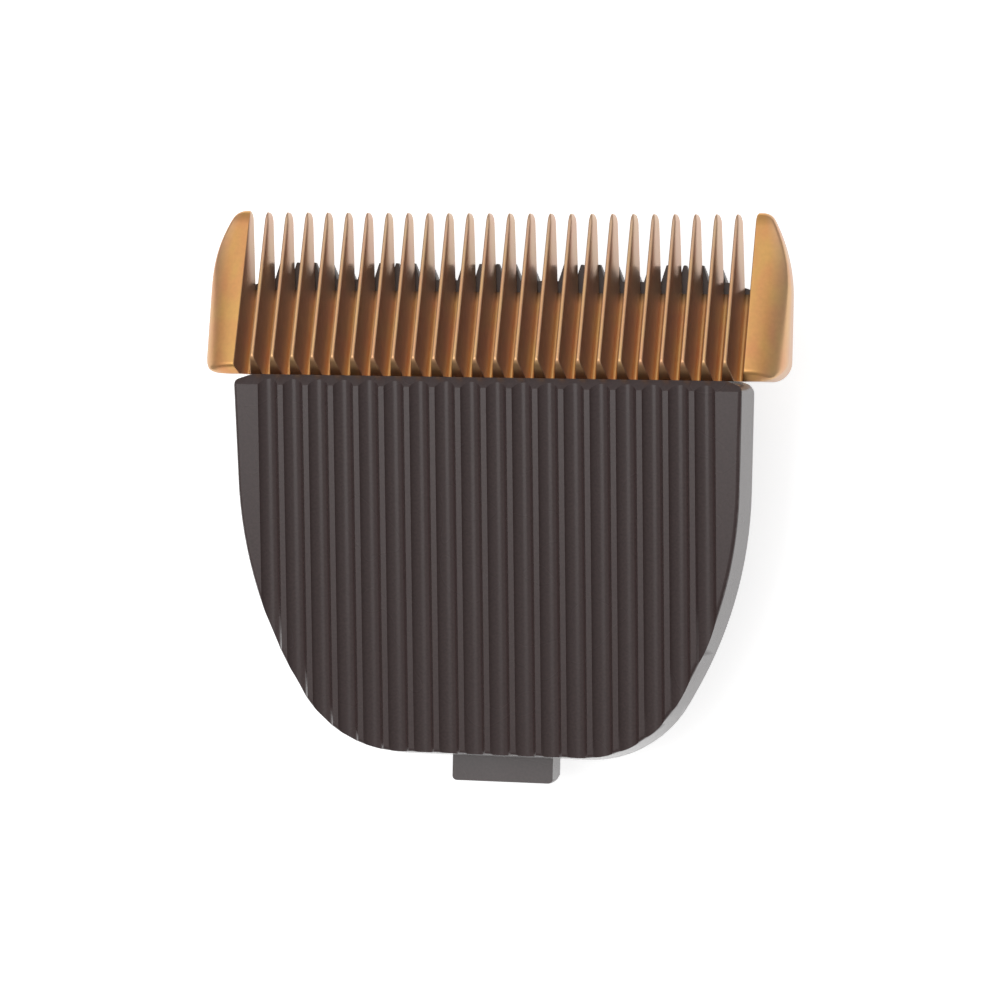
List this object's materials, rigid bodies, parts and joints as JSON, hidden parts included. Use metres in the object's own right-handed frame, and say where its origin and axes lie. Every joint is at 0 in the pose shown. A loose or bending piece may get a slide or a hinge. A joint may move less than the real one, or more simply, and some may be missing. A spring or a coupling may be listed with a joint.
{
  "type": "hair clipper blade head",
  "caption": "Detachable clipper blade head: gold-coated steel comb with V-ground teeth over a sliding black ceramic cutter, on a fluted black plastic holder with a rear tongue.",
  "frame": {"origin": "centre of the overall box in X and Y, on the plug frame's rim that the head lies on", "axes": "+X along the row of teeth, +Y towards the tooth tips, +Z out of the fluted face"},
  "size_m": [0.0454, 0.043, 0.0126],
  "materials": {
    "coated_steel": "ground steel with a satin gold nitride coating",
    "black_ceramic": "lapped black zirconia",
    "driver_plastic": "moulded acetal",
    "holder_plastic": "moulded, satin",
    "spring_wire": "drawn spring wire",
    "screw_steel": "plated"
  },
  "bodies": {
    "holder": {"blade_holder": "holder_plastic", "fixed_blade": "coated_steel", "tension_spring": "spring_wire", "blade_screws": "screw_steel"},
    "cutter": {"moving_blade": "black_ceramic", "cutter_driver": "driver_plastic"}
  },
  "joints": [
    {"name": "cutter_slide", "type": "slide", "parent": "holder", "child": "cutter", "axis": [1, 0, 0], "range_m": [-0.0013, 0.0013]}
  ]
}
